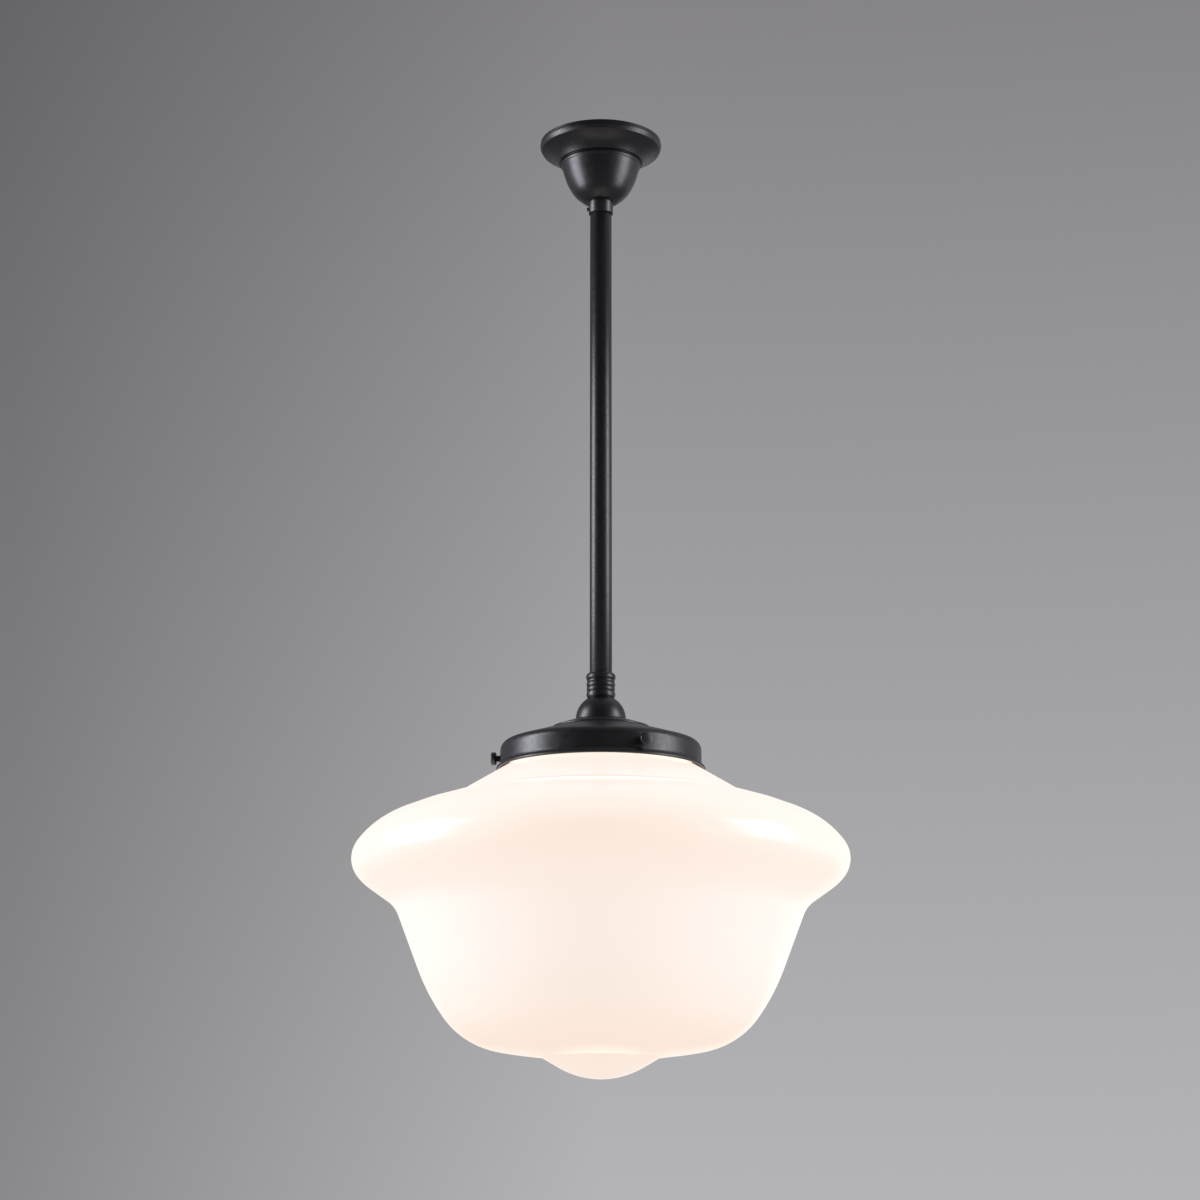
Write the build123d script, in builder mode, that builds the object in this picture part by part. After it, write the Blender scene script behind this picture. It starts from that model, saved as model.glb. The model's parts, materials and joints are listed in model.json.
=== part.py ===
from build123d import *
import os
from math import copysign, cos, radians, sin, sqrt

# Pendant light on a rod, with a blown opal glass shade held in a metal gallery by three thumb screws.
# Millimetres. The origin is the middle of the ceiling plane, +Z is up, and the light hangs to -Z.
# The front of the light is -Y. An azimuth is counted from the front towards +X.

os.makedirs("parts", exist_ok=True)

# Fits and clearances
running_gap = 0.08
thread_gap = 0.05
seat_gap = 0.3

# The largest turn that an unseen skin takes in one flat
plain_turn = 20.0

# Ceiling strap and its fixings
strap_width = 20.0
strap_thickness = 1.5
strap_drop = 12.0
strap_bridge_half = 27.0
strap_leg_run = 4.0
strap_foot_end = 46.0
slot_spacing = 76.0
slot_length = 10.0
slot_width = 4.5
earth_screw_radius = 2.0
earth_screw_x = 17.0
earth_head_radius = 3.9
earth_head_height = 2.6
earth_screw_length = 7.0
earth_slot_width = 1.0

# Threaded nipples with their nuts and washer
nipple_radius = 5.0
nipple_bore = 3.5
nipple_proud = 1.5
nut_across_flats = 14.0
nut_height = 4.0
washer_radius = 9.5
washer_thickness = 1.5

# Rod with a threaded bush in each end
rod_radius = 9.0
rod_wall = 1.0
rod_top = -30.0
rod_length = 436.1
rod_socket = 8.3
bush_height = 12.0

# Ceiling rose: rim, saucer, bead and cup, spun from one sheet
rose_wall = 1.0
rose_radius = 51.0
rose_rim_height = 6.5
rose_saucer_slope = 20.0
rose_saucer_radius = 30.0
rose_saucer_turn = 35.0
rose_crease_radius = 33.2
rose_bead_start = 50.0
rose_bead_radius = 2.4
rose_bead_end = 140.0
rose_side_heading = 106.0
rose_side_run = 8.9
rose_side_radius = 52.0
rose_turn_radius = 22.7
rose_arc_turn = 18.0
rose_cone_run = 4.4
rose_floor_radius = 6.0

# Collar that slides on the rod and carries the rose, with its grub screw
collar_wall = 1.12
collar_drop = 10.5
collar_chamfer = 0.5
flange_width = 1.3
flange_thickness = 1.5
grub_radius = 1.5
grub_drop = 5.8
grub_proud = 1.6
grub_chamfer = 0.3
grub_azimuth = -90.0

# Terminal block under the strap, with its inserts and screws
block_length = 17.0
block_width = 16.0
block_height = 10.5
block_x = -17.5
block_pitch = 8.5
insert_width = 4.8
insert_bore = 1.3
insert_length = 14.0
insert_drop = 5.5
block_screw_radius = 1.3
block_screw_spread = 9.0

# Leads from the terminal block to the lampholder
lead_radius = 1.0
lead_spacing = 3.0
lead_top_gap = 1.2
lead_side_y = 14.0
lead_bend = 5.0
lead_entry_bend = 4.0
lead_insertion = 4.5

# Reeded coupling under the rod: drops are below its top
coupling_shoulder_radius = 11.2
coupling_bead_radius = 11.9
coupling_bead_drop = 1.9
coupling_groove_radius = 10.9
coupling_groove_drop = 5.0
coupling_body_radius = 11.6
coupling_body_drop = 9.0
coupling_waist_radius = 10.8
coupling_waist_drop = 13.2
coupling_ring_radius = 11.6
coupling_ring_drop = 16.2
coupling_foot_radius = 10.4
coupling_foot_drop = 19.8
coupling_height = 20.5

# Half ball over the gallery
ball_radius = 20.1
ball_wall = 1.2
ball_cap_height = 17.0
ball_skirt = 0.7
ball_shoulder = 45.0

# Gallery: pressed pad, raised disc, sloped top, wall and flared lip
gallery_wall = 1.2
gallery_pad_radius = 21.0
gallery_disc_slope = 18.5
gallery_disc_radius = 39.5
gallery_disc_step = 1.6
gallery_slope = 16.8
gallery_shoulder_radius = 7.0
gallery_wall_run = 9.3
gallery_flare_bend = 5.0
gallery_flare_angle = 38.0
gallery_flare_run = 2.0
gallery_bead_radius = 1.2

# Thumb screws with their soft tips
thumb_azimuths = {"a": 24.0, "b": -96.0, "c": 144.0}
thumb_radius = 2.5
thumb_reach = 4.0
thumb_head_radius = 5.2
thumb_head_length = 4.3
thumb_head_chamfer = 1.0
thumb_boss_radius = 3.9
thumb_boss_height = 0.9
tip_radius = 2.7
tip_length = 2.0

# Glass shade: an even wall from the lipped neck to the moulded button under the bowl
glass_wall = 3.0
shade_drop = 22.0
lip_radius = 74.8
lip_height = 4.2
lip_chamfer = 0.8
lip_overhang = 2.5
lip_clearance = 0.5
lip_side_gap = 4.2
neck_run = 6.9
neck_flare_run = 6.0
shoulder_slope = 31.2
shoulder_run = 38.6
shoulder_roll_radius = 160.0
shoulder_roll_turn = 4.8
ring_crease_turn = 31.0
brim_inner_radius = 64.0
brim_inner_turn = 10.4
brim_top_radius = 257.0
brim_top_turn = 8.3
brim_shoulder_radius = 64.6
brim_shoulder_turn = 30.1
brim_nose_radius = 19.9
brim_nose_turn = 75.0
brim_under_radius = 38.6
brim_under_turn = 15.8
brim_under_run = 18.6
throat_radius = 28.5
throat_turn = 33.6
body_run = 45.1
belly_radius = 160.0
belly_turn = 15.1
base_corner_radius = 64.0
base_corner_turn = 42.6
base_radius = 190.0
base_turn = 4.0
button_slope = 30.0
button_side_run = 15.9
button_radius = 66.0

# Lampholder
holder_neck_radius = 8.0
holder_neck_height = 2.3
holder_radius = 19.5
holder_wall = 2.0
holder_chamfer = 3.0
holder_cap_height = 21.0
holder_body_height = 35.0
holder_foot_radius = 18.4
holder_nipple_reach = 9.0
insert_disc_radius = 16.5
insert_disc_height = 9.0
insert_disc_rise = 5.0
insert_ledge = 1.5
shell_radius = 14.0
shell_wall = 0.45
shell_length = 22.0
contact_width = 6.0
contact_thickness = 0.5
contact_reach = 8.0
contact_foot = 5.0
contact_tongue = 5.0
contact_drop = 3.0

# Bulb
bulb_cap_gap = 0.35
bulb_cap_length = 22.0
bulb_cap_wall = 0.4
bulb_contact_radius = 4.8
bulb_contact_height = 1.2
bulb_insulator_top = 5.5
bulb_insulator_radius = 11.0
bulb_insulator_height = 3.0
bulb_neck_radius = 12.4
bulb_neck_insertion = 7.5
bulb_neck_flare = 20.0
bulb_radius = 30.0
bulb_length = 108.0
bulb_wall = 0.9


def finish(piece, label):
    piece.part.label = label
    export_step(piece.part, f"parts/{label}.step")


def heading(angle):
    """A direction in the section plane, in degrees below straight outward."""
    return Vector(cos(radians(angle)), -sin(radians(angle)))


def into_wall(angle):
    """The direction from a skin with this heading into the sheet."""
    return Vector(-sin(radians(angle)), -cos(radians(angle)))


def arc_offset(radius, start, end):
    """From the start of an arc to the place where its heading is the end angle."""
    turned = Vector(sin(radians(end)) - sin(radians(start)), cos(radians(end)) - cos(radians(start)))
    return turned * copysign(radius, end - start)


def path(point, angle, stretches):
    """Follows a section. A stretch is a run (length, 0), a bend (radius, turn) that is positive
    towards the axis, or a sharp corner (0, turn). Returns knots and the middles of the arcs."""
    here = Vector(*point)
    knots = [[here, angle, angle]]
    middles = []
    for size, turn in stretches:
        start = knots[-1][2]
        if size == 0:
            knots[-1][2] = start + turn
        elif turn == 0:
            here = here + heading(start) * size
            middles.append(None)
            knots.append([here, start, start])
        else:
            half = start + turn / 2
            middles.append((here + arc_offset(size, start, half), half))
            here = here + arc_offset(size, start, start + turn)
            knots.append([here, start + turn, start + turn])
    return knots, middles


def skin(point, angle, stretches, inset=0.0):
    """Draws one skin of a sheet and returns its two ends. The unseen skin, moved into the wall
    by the inset, has flats in place of its bends."""
    knots, middles = path(point, angle, stretches)
    places = []
    for knot, arriving, leaving in knots:
        share = inset / (1 + cos(radians(leaving - arriving)))
        places.append(knot + (into_wall(arriving) + into_wall(leaving)) * share)
    for first, middle, last, turn in zip(places, middles, places[1:], [t for s, t in stretches if s]):
        if middle and inset == 0:
            ThreePointArc(first, middle[0], last)
        elif middle and abs(turn) > plain_turn:
            Polyline(first, middle[0] + into_wall(middle[1]) * inset, last)
        else:
            Line(first, last)
    return places[0], places[-1]


def path_end(point, angle, stretches):
    """Where a section ends, and its heading there."""
    knots, _ = path(point, angle, stretches)
    return knots[-1][0], knots[-1][2]


def tube(outer, inner, top, bottom):
    with BuildPart() as piece:
        with BuildSketch(Plane.XY.offset(bottom)):
            Circle(outer)
            Circle(inner, mode=Mode.SUBTRACT)
        extrude(amount=top - bottom)
    return piece


def disc(radius, top, height):
    with BuildPart() as piece:
        with BuildSketch(Plane.XY.offset(top)):
            Circle(radius)
        extrude(amount=-height)
    return piece


def face_plane(azimuth, height, distance):
    """A plane square to the azimuth at a distance from the light's axis, facing outward."""
    out = Vector(sin(radians(azimuth)), -cos(radians(azimuth)), 0)
    return Plane(origin=out * distance + Vector(0, 0, height), x_dir=(0, 0, 1), z_dir=out)


# Mounting strap: two feet on the ceiling and a dropped bridge
bridge_bottom = -strap_drop - strap_thickness
leg_top = strap_bridge_half + strap_leg_run
with BuildPart() as mounting_strap:
    with BuildSketch(Plane.XZ):
        with BuildLine():
            Polyline(
                (0, -strap_drop),
                (strap_bridge_half, -strap_drop),
                (leg_top, 0),
                (strap_foot_end, 0),
                (strap_foot_end, -strap_thickness),
                (leg_top + strap_thickness, -strap_thickness),
                (strap_bridge_half + strap_thickness, bridge_bottom),
                (0, bridge_bottom),
                close=True,
            )
        make_face()
        mirror(about=Plane.YZ)
    extrude(amount=strap_width / 2, both=True)
    with BuildSketch(Plane.XY):
        with Locations((slot_spacing / 2, 0), (-slot_spacing / 2, 0)):
            SlotOverall(slot_length, slot_width)
    extrude(amount=-strap_thickness, mode=Mode.SUBTRACT)
    with BuildSketch(Plane.XY.offset(-strap_drop)):
        Circle(nipple_radius + thread_gap)
        with Locations((earth_screw_x, 0)):
            Circle(earth_screw_radius + thread_gap)
    extrude(amount=-strap_thickness, mode=Mode.SUBTRACT)
finish(mounting_strap, "mounting_strap")

# Earth screw, up through the bridge
with BuildPart() as earth_screw:
    with BuildSketch(Plane.XY.offset(bridge_bottom)):
        with Locations((earth_screw_x, 0)):
            Circle(earth_head_radius)
    extrude(amount=-earth_head_height)
    with BuildSketch(Plane.XY.offset(bridge_bottom)):
        with Locations((earth_screw_x, 0)):
            Circle(earth_screw_radius)
    extrude(amount=earth_screw_length)
    with BuildSketch(Plane.XY.offset(bridge_bottom - earth_head_height)):
        with Locations((earth_screw_x, 0)):
            Rectangle(2 * earth_head_radius, earth_slot_width)
    extrude(amount=earth_head_height / 2, mode=Mode.SUBTRACT)
finish(earth_screw, "earth_screw")

# Hanger nipple and the two nuts that clamp it to the bridge
nipple_hole = nipple_radius + thread_gap
hanger_nipple_top = -strap_drop + nut_height + nipple_proud
hanger_nipple = tube(nipple_radius, nipple_bore, hanger_nipple_top, rod_top - bush_height)
finish(hanger_nipple, "hanger_nipple")

with BuildPart() as strap_nuts:
    for nut_bottom in (-strap_drop, bridge_bottom - nut_height):
        with BuildSketch(Plane.XY.offset(nut_bottom)):
            RegularPolygon(nut_across_flats / 2, 6, major_radius=False)
            Circle(nipple_hole, mode=Mode.SUBTRACT)
        extrude(amount=nut_height)
finish(strap_nuts, "strap_nuts")

# Rod and its bushes
rod_bottom = rod_top - rod_length
rod_bore = rod_radius - rod_wall
rod = tube(rod_radius, rod_bore, rod_top, rod_bottom)
finish(rod, "rod")
rod_top_bush = tube(rod_bore, nipple_hole, rod_top, rod_top - bush_height)
finish(rod_top_bush, "rod_top_bush")
rod_bottom_bush = tube(rod_bore, nipple_hole, rod_bottom + bush_height, rod_bottom)
finish(rod_bottom_bush, "rod_bottom_bush")

# Ceiling rose. The ledge under the saucer reaches in to the crease, where the bead starts.
collar_bore = rod_radius + running_gap
collar_radius = collar_bore + collar_wall
rose_hole = collar_radius + running_gap
rose_start = (rose_radius, 0)
saucer_end_heading = 180 - rose_saucer_slope - rose_saucer_turn
rose_saucer = [
    (rose_rim_height, 0),
    (0, 90 - rose_saucer_slope),
    (rose_saucer_radius, -rose_saucer_turn),
]
saucer_end, _ = path_end(rose_start, 90, rose_saucer)
rose_cup = rose_saucer + [
    (0, 180 - saucer_end_heading),
    (saucer_end.X - rose_crease_radius, 0),
    (0, rose_bead_start - 180),
    (rose_bead_radius, rose_bead_end - rose_bead_start),
    (0, rose_side_heading - rose_bead_end),
    (rose_side_run, 0),
    (rose_side_radius, rose_arc_turn),
    (rose_turn_radius, rose_arc_turn),
    (rose_cone_run, 0),
    (rose_floor_radius, 180 - rose_side_heading - 2 * rose_arc_turn),
]
rose_floor, _ = path_end(rose_start, 90, rose_cup)
rose_section = rose_cup + [(rose_floor.X - rose_hole, 0)]
with BuildPart() as ceiling_rose:
    with BuildSketch(Plane.XZ):
        with BuildLine():
            outer_start, outer_end = skin(rose_start, 90, rose_section)
            inner_start, inner_end = skin(rose_start, 90, rose_section, rose_wall)
            Line(outer_start, inner_start)
            Line(outer_end, inner_end)
        make_face()
    revolve(axis=Axis.Z)
finish(ceiling_rose, "ceiling_rose")

# Collar: a sleeve on the rod, with a flange that bears on the floor of the rose's cup
flange_bottom = rose_floor.Y + rose_wall
collar_bottom = rose_floor.Y - collar_drop
with BuildPart() as rose_collar:
    with BuildSketch(Plane.XY.offset(flange_bottom)):
        Circle(collar_radius + flange_width)
    extrude(amount=flange_thickness)
    with BuildSketch(Plane.XY.offset(flange_bottom)):
        Circle(collar_radius)
    extrude(amount=collar_bottom - flange_bottom)
    chamfer(edges().filter_by(GeomType.CIRCLE).sort_by(Axis.Z)[0], collar_chamfer)
    with BuildSketch(Plane.XY.offset(collar_bottom)):
        Circle(collar_bore)
    extrude(amount=flange_bottom + flange_thickness - collar_bottom, mode=Mode.SUBTRACT)
    with BuildSketch(face_plane(grub_azimuth, rose_floor.Y - grub_drop, collar_bore / 2)):
        Circle(grub_radius + thread_gap)
    extrude(amount=collar_radius, mode=Mode.SUBTRACT)
finish(rose_collar, "rose_collar")

grub_plane = face_plane(grub_azimuth, rose_floor.Y - grub_drop, collar_bore)
with BuildPart() as collar_grub_screw:
    with BuildSketch(grub_plane):
        Circle(grub_radius)
    extrude(amount=collar_wall + grub_proud)
    chamfer(faces().sort_by(Axis.X)[0].edges(), grub_chamfer)
finish(collar_grub_screw, "collar_grub_screw")

# Terminal block: two brass inserts side by side, each with a screw at either end
insert_height = bridge_bottom - insert_drop
poles = {"live": (block_x + block_pitch / 2, 1), "neutral": (block_x - block_pitch / 2, -1)}
insert_plane = Plane(origin=(0, -insert_length / 2, insert_height), x_dir=(1, 0, 0), z_dir=(0, 1, 0))
block_bottom = bridge_bottom - block_height
block_screw_top = insert_height - insert_width / 2
block_screw_places = [
    (pole_x, screw_side * block_screw_spread / 2) for pole_x, _ in poles.values() for screw_side in (1, -1)
]
with BuildPart() as terminal_block:
    with BuildSketch(Plane.XY.offset(bridge_bottom)):
        with Locations((block_x, 0)):
            Rectangle(block_length, block_width)
    extrude(amount=-block_height)
    with BuildSketch(insert_plane):
        with Locations(*[(pole_x, 0) for pole_x, _ in poles.values()]):
            Rectangle(insert_width + 2 * thread_gap, insert_width + 2 * thread_gap)
    extrude(amount=block_width, both=True, mode=Mode.SUBTRACT)
    with BuildSketch(Plane.XY.offset(block_bottom)):
        with Locations(*block_screw_places):
            Circle(block_screw_radius + thread_gap)
    extrude(amount=block_screw_top - block_bottom, mode=Mode.SUBTRACT)
finish(terminal_block, "terminal_block")

with BuildPart() as terminal_inserts:
    with BuildSketch(insert_plane):
        with Locations(*[(pole_x, 0) for pole_x, _ in poles.values()]):
            Rectangle(insert_width, insert_width)
            Circle(insert_bore, mode=Mode.SUBTRACT)
    extrude(amount=insert_length)
finish(terminal_inserts, "terminal_inserts")

with BuildPart() as terminal_screws:
    with BuildSketch(Plane.XY.offset(block_bottom)):
        with Locations(*block_screw_places):
            Circle(block_screw_radius)
    extrude(amount=block_screw_top - block_bottom)
finish(terminal_screws, "terminal_screws")

# Coupling: reeded outside, with a socket for the rod over the nipple's hole
coupling_top = rod_bottom + rod_socket
coupling_end = coupling_top - coupling_height
with BuildPart() as coupling:
    with BuildSketch(Plane.XZ):
        with BuildLine():
            ThreePointArc(
                (coupling_shoulder_radius, coupling_top),
                (coupling_bead_radius, coupling_top - coupling_bead_drop),
                (coupling_groove_radius, coupling_top - coupling_groove_drop),
            )
            ThreePointArc(
                (coupling_groove_radius, coupling_top - coupling_groove_drop),
                (coupling_body_radius, coupling_top - coupling_body_drop),
                (coupling_waist_radius, coupling_top - coupling_waist_drop),
            )
            ThreePointArc(
                (coupling_waist_radius, coupling_top - coupling_waist_drop),
                (coupling_ring_radius, coupling_top - coupling_ring_drop),
                (coupling_foot_radius, coupling_top - coupling_foot_drop),
            )
            Polyline(
                (coupling_foot_radius, coupling_top - coupling_foot_drop),
                (coupling_foot_radius, coupling_end),
                (nipple_hole, coupling_end),
                (nipple_hole, rod_bottom),
                (rod_radius + thread_gap, rod_bottom),
                (rod_radius + thread_gap, coupling_top),
                (coupling_shoulder_radius, coupling_top),
            )
        make_face()
    revolve(axis=Axis.Z)
finish(coupling, "coupling")

# Half ball: flat on top, where the coupling bears, and open at its foot on the gallery
ball_centre = coupling_end - ball_cap_height
gallery_top = ball_centre - ball_skirt
ball_inner_radius = ball_radius - ball_wall
ball_middle = Vector(0, ball_centre)
ball_shoulder_way = heading(-ball_shoulder)


def ball_width(radius, height):
    """The radius of a level circle on the ball at a height above its centre."""
    return sqrt(radius**2 - height**2)


with BuildPart() as ball_cover:
    with BuildSketch(Plane.XZ):
        with BuildLine():
            outer_arc = ThreePointArc(
                (ball_width(ball_radius, ball_cap_height), coupling_end),
                ball_middle + ball_shoulder_way * ball_radius,
                (ball_width(ball_radius, ball_skirt), gallery_top),
            )
            inner_arc = ThreePointArc(
                (ball_width(ball_inner_radius, ball_cap_height - ball_wall), coupling_end - ball_wall),
                ball_middle + ball_shoulder_way * ball_inner_radius,
                (ball_width(ball_inner_radius, ball_skirt), gallery_top),
            )
            Line(outer_arc @ 1, inner_arc @ 1)
            Polyline(
                outer_arc @ 0,
                (nipple_hole, coupling_end),
                (nipple_hole, coupling_end - ball_wall),
                inner_arc @ 0,
            )
        make_face()
    revolve(axis=Axis.Z)
finish(ball_cover, "ball_cover")

# Gallery. Its wall goes round the lip of the glass, and the cone's length follows from that.
neck_radius = lip_radius - lip_overhang
gallery_inner_radius = lip_radius + lip_side_gap
gallery_radius = gallery_inner_radius + gallery_wall
shoulder_reach = gallery_shoulder_radius * (1 - sin(radians(gallery_slope)))
cone_reach = gallery_radius - gallery_disc_radius - shoulder_reach
gallery_section = [
    (gallery_pad_radius - nipple_hole, 0),
    (0, gallery_disc_slope),
    ((gallery_disc_radius - gallery_pad_radius) / cos(radians(gallery_disc_slope)), 0),
    (0, 90 - gallery_disc_slope),
    (gallery_disc_step, 0),
    (0, gallery_slope - 90),
    (cone_reach / cos(radians(gallery_slope)), 0),
    (gallery_shoulder_radius, 90 - gallery_slope),
    (gallery_wall_run, 0),
    (gallery_flare_bend, -gallery_flare_angle),
    (gallery_flare_run, 0),
]
lip_top = gallery_top - shade_drop
lip_bottom = lip_top - lip_height
thumb_height = lip_bottom - lip_clearance - tip_radius
with BuildPart() as gallery:
    with BuildSketch(Plane.XZ):
        with BuildLine():
            outer_start, outer_end = skin((nipple_hole, gallery_top), 0, gallery_section)
            inner_start, inner_end = skin((nipple_hole, gallery_top), 0, gallery_section, gallery_wall)
            Line(outer_start, inner_start)
            Line(outer_end, inner_end)
        make_face()
        edge_middle = (outer_end + inner_end) / 2
        with Locations((edge_middle.X, edge_middle.Y)):
            RegularPolygon(gallery_bead_radius, 6)
    revolve(axis=Axis.Z)
    for azimuth in thumb_azimuths.values():
        with BuildSketch(face_plane(azimuth, thumb_height, gallery_inner_radius - thumb_boss_height)):
            Circle(thumb_boss_radius)
        extrude(amount=thumb_boss_height + gallery_wall / 2)
        with BuildSketch(face_plane(azimuth, thumb_height, gallery_inner_radius - thumb_boss_height)):
            Circle(thumb_radius + thread_gap)
        extrude(amount=thumb_boss_height + 2 * gallery_wall, mode=Mode.SUBTRACT)
finish(gallery, "gallery")

# Washer and nut that clamp the gallery, and the nipple through them
washer_top = gallery_top - gallery_wall
nut_top = washer_top - washer_thickness
nut_base = nut_top - nut_height
holder_top = nut_base - holder_neck_height
gallery_nipple_end = holder_top - holder_nipple_reach
gallery_nipple = tube(nipple_radius, nipple_bore, rod_bottom + bush_height, gallery_nipple_end)
finish(gallery_nipple, "gallery_nipple")
gallery_washer = tube(washer_radius, nipple_hole, washer_top, nut_top)
finish(gallery_washer, "gallery_washer")

with BuildPart() as gallery_nut:
    with BuildSketch(Plane.XY.offset(nut_base)):
        RegularPolygon(nut_across_flats / 2, 6, major_radius=False)
        Circle(nipple_hole, mode=Mode.SUBTRACT)
    extrude(amount=nut_height)
finish(gallery_nut, "gallery_nut")

# Thumb screws through the gallery's wall, and the soft tip on the end of each
tip_front = neck_radius + thread_gap
tip_back = tip_front + tip_length
thumb_head_start = gallery_radius + thumb_reach
for name, azimuth in thumb_azimuths.items():
    with BuildPart() as screw_tip:
        with BuildSketch(face_plane(azimuth, thumb_height, tip_front)):
            Circle(tip_radius)
        extrude(amount=tip_length)
    finish(screw_tip, f"screw_tip_{name}")
    with BuildPart() as thumb_screw:
        with BuildSketch(face_plane(azimuth, thumb_height, thumb_head_start + thumb_head_length)):
            Circle(thumb_head_radius)
        extrude(amount=-thumb_head_length)
        chamfer(edges(), thumb_head_chamfer)
        with BuildSketch(face_plane(azimuth, thumb_height, tip_back)):
            Circle(thumb_radius)
        extrude(amount=thumb_head_start - tip_back)
    finish(thumb_screw, f"thumb_screw_{name}")

# Glass shade. The last run before the button brings the section to the axis.
glass_bowl = [
    (neck_run, 0),
    (0, (shoulder_slope - 90) / 2),
    (neck_flare_run, 0),
    (0, (shoulder_slope - 90) / 2),
    (shoulder_run, 0),
    (shoulder_roll_radius, shoulder_roll_turn),
    (0, -ring_crease_turn),
    (brim_inner_radius, brim_inner_turn),
    (brim_top_radius, brim_top_turn),
    (brim_shoulder_radius, brim_shoulder_turn),
    (brim_nose_radius, brim_nose_turn),
    (brim_under_radius, brim_under_turn),
    (brim_under_run, 0),
    (throat_radius, -throat_turn),
    (body_run, 0),
    (belly_radius, belly_turn),
    (base_corner_radius, base_corner_turn),
    (base_radius, base_turn),
]
bowl_end, bowl_heading = path_end((neck_radius, lip_bottom), 90, glass_bowl)
base_slope = 180 - bowl_heading
button_reach = button_side_run * cos(radians(button_slope)) + button_radius * sin(radians(button_slope))
glass_section = glass_bowl + [
    ((bowl_end.X - button_reach) / cos(radians(base_slope)), 0),
    (0, base_slope - button_slope),
    (button_side_run, 0),
    (button_radius, button_slope),
]
with BuildPart() as shade:
    with BuildSketch(Plane.XZ):
        with BuildLine():
            outer_start, outer_end = skin((neck_radius, lip_bottom), 90, glass_section)
            inner_start, inner_end = skin((neck_radius, lip_bottom), 90, glass_section, glass_wall)
            Line(outer_end, inner_end)
            Polyline(
                outer_start,
                (lip_radius, lip_bottom),
                (lip_radius, lip_top - lip_chamfer),
                (lip_radius - lip_chamfer, lip_top),
                (inner_start.X, lip_top),
                inner_start,
            )
        make_face()
    revolve(axis=Axis.Z)
finish(shade, "shade")

# Lampholder cap on the nipple, and the body under it
cap_bottom = holder_top - holder_cap_height
holder_inner_radius = holder_radius - holder_wall
with BuildPart() as lampholder_cap:
    with BuildSketch(Plane.XZ):
        with BuildLine():
            Polyline(
                (nipple_hole, nut_base),
                (holder_neck_radius, nut_base),
                (holder_neck_radius, holder_top),
                (holder_radius - holder_chamfer, holder_top),
                (holder_radius, holder_top - holder_chamfer),
                (holder_radius, cap_bottom),
                (holder_inner_radius, cap_bottom),
                (holder_inner_radius, holder_top - holder_chamfer),
                (holder_inner_radius - holder_chamfer / 2, holder_top - holder_wall),
                (nipple_hole, holder_top - holder_wall),
                close=True,
            )
        make_face()
    revolve(axis=Axis.Z)
finish(lampholder_cap, "lampholder_cap")

insert_top = cap_bottom + insert_disc_rise
insert_bottom = insert_top - insert_disc_height
body_bottom = cap_bottom - holder_body_height
with BuildPart() as lampholder_body:
    with BuildSketch(Plane.XZ):
        with BuildLine():
            Polyline(
                (holder_radius, cap_bottom),
                (holder_foot_radius, body_bottom),
                (insert_disc_radius - insert_ledge, body_bottom),
                (insert_disc_radius - insert_ledge, insert_bottom),
                (insert_disc_radius + thread_gap, insert_bottom),
                (insert_disc_radius + thread_gap, cap_bottom),
                close=True,
            )
        make_face()
    revolve(axis=Axis.Z)
finish(lampholder_body, "lampholder_body")

lampholder_insert = disc(insert_disc_radius, insert_top, insert_disc_height)
finish(lampholder_insert, "lampholder_insert")
screw_shell = tube(shell_radius, shell_radius - shell_wall, insert_bottom, insert_bottom - shell_length)
finish(screw_shell, "screw_shell")

# Centre contact: a foot under the insert and a sprung tongue down to the bulb
tongue_bottom = insert_bottom - contact_drop
with BuildPart() as centre_contact:
    with BuildSketch(Plane.XZ):
        with BuildLine():
            Polyline(
                (-contact_reach, insert_bottom),
                (contact_foot - contact_reach, insert_bottom),
                (contact_thickness, tongue_bottom + contact_thickness),
                (contact_tongue, tongue_bottom + contact_thickness),
                (contact_tongue, tongue_bottom),
                (0, tongue_bottom),
                (contact_foot - contact_reach - contact_thickness, insert_bottom - contact_thickness),
                (-contact_reach, insert_bottom - contact_thickness),
                close=True,
            )
        make_face()
    extrude(amount=contact_width / 2, both=True)
finish(centre_contact, "centre_contact")

# Bulb: contact, insulator, screw cap and glass
bulb_top = tongue_bottom - seat_gap
insulator_top = bulb_top - bulb_contact_height
bulb_cap_top = insulator_top - bulb_insulator_height
bulb_cap_bottom = bulb_cap_top - bulb_cap_length
bulb_cap_radius = shell_radius - shell_wall - bulb_cap_gap
bulb_contact = disc(bulb_contact_radius, bulb_top, bulb_contact_height)
finish(bulb_contact, "bulb_contact")

with BuildPart() as bulb_insulator:
    with BuildSketch(Plane.XZ):
        with BuildLine():
            Polyline(
                (0, insulator_top),
                (bulb_insulator_top, insulator_top),
                (bulb_insulator_radius, bulb_cap_top),
                (0, bulb_cap_top),
                close=True,
            )
        make_face()
    revolve(axis=Axis.Z)
finish(bulb_insulator, "bulb_insulator")

with BuildPart() as bulb_cap:
    with BuildSketch(Plane.XZ):
        with BuildLine():
            Polyline(
                (bulb_contact_radius, bulb_cap_top),
                (bulb_cap_radius, bulb_cap_top),
                (bulb_cap_radius, bulb_cap_bottom),
                (bulb_cap_radius - bulb_cap_wall, bulb_cap_bottom),
                (bulb_cap_radius - bulb_cap_wall, bulb_cap_top - bulb_cap_wall),
                (bulb_contact_radius, bulb_cap_top - bulb_cap_wall),
                close=True,
            )
        make_face()
    revolve(axis=Axis.Z)
finish(bulb_cap, "bulb_cap")

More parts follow.
